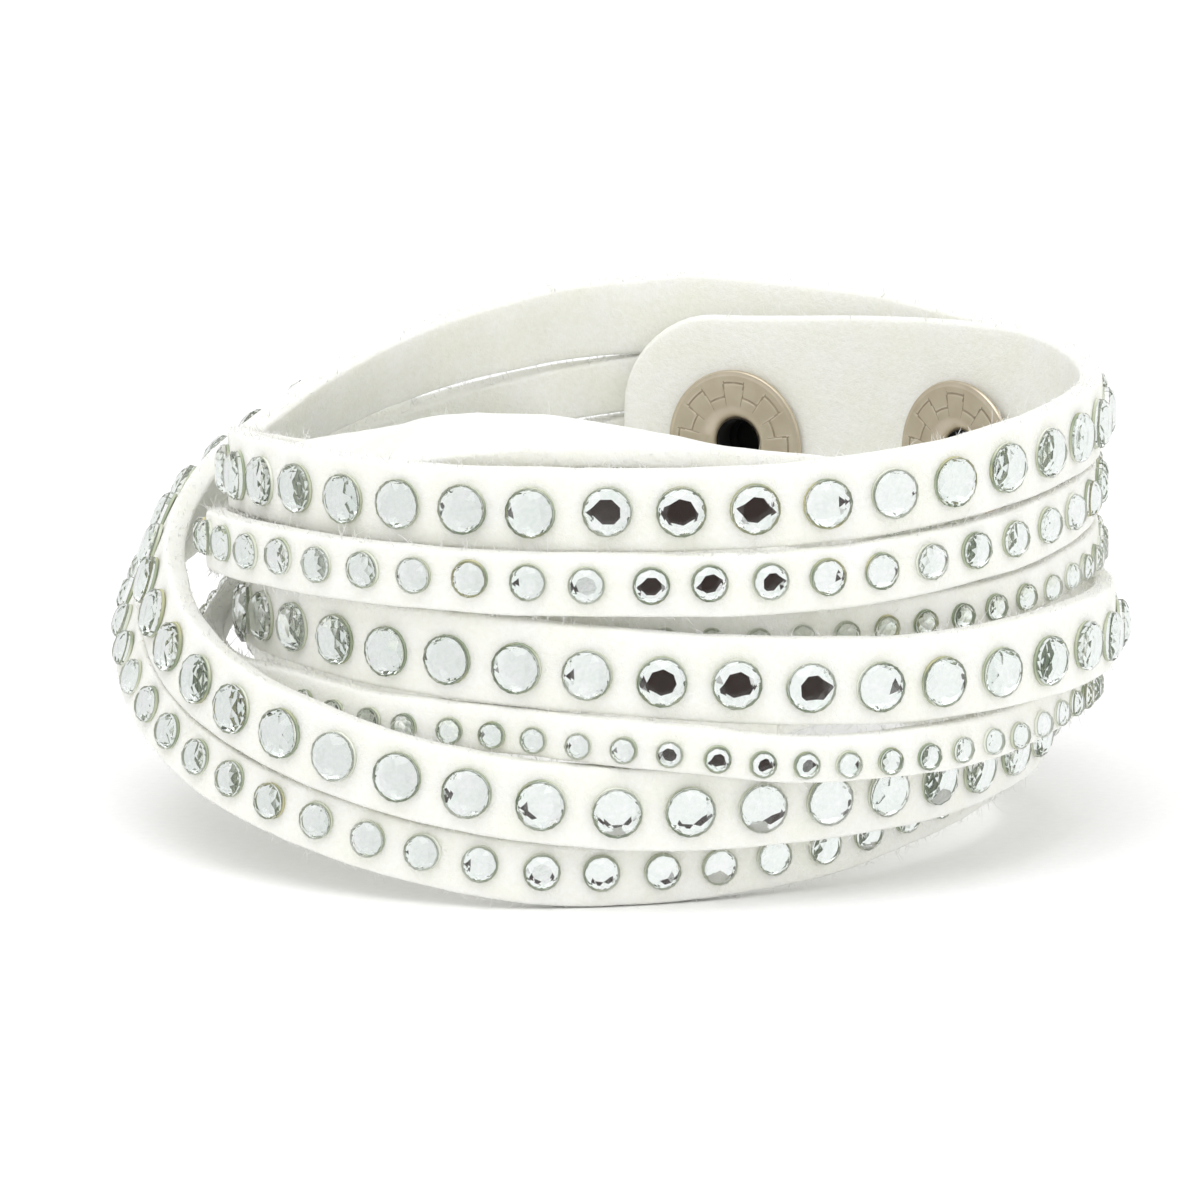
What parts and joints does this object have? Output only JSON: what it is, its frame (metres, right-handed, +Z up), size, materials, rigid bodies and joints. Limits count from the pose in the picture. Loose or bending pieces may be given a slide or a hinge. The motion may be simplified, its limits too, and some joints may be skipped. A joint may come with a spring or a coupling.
{
  "type": "wrap bracelet",
  "caption": "Double wrap bracelet: one slit suede strap with rows of cut stones, closed at the back by ring snaps.",
  "frame": {"origin": "middle of the wrist opening's footprint, at the surface the bracelet rests on", "axes": "+Z up, along the wrist; -Y to the side with the stones that faces the camera; +X to the bracelet's right seen from there"},
  "size_m": [0.0628, 0.0621, 0.0294],
  "materials": {
    "suede": "warm white, napped",
    "stone": "foil-backed cut glass, silver",
    "snap_metal": "warm grey nickel"
  },
  "bodies": {
    "root": {"strap": "suede", "stones_upper": "stone", "stones_second": "stone", "stones_lower": "stone", "snap_eyelet_1": "snap_metal", "snap_eyelet_2": "snap_metal", "snap_stud_1": "snap_metal", "snap_stud_2": "snap_metal", "snap_socket_1": "snap_metal", "snap_socket_2": "snap_metal", "snap_cap_1": "snap_metal", "snap_cap_2": "snap_metal"}
  },
  "joints": []
}
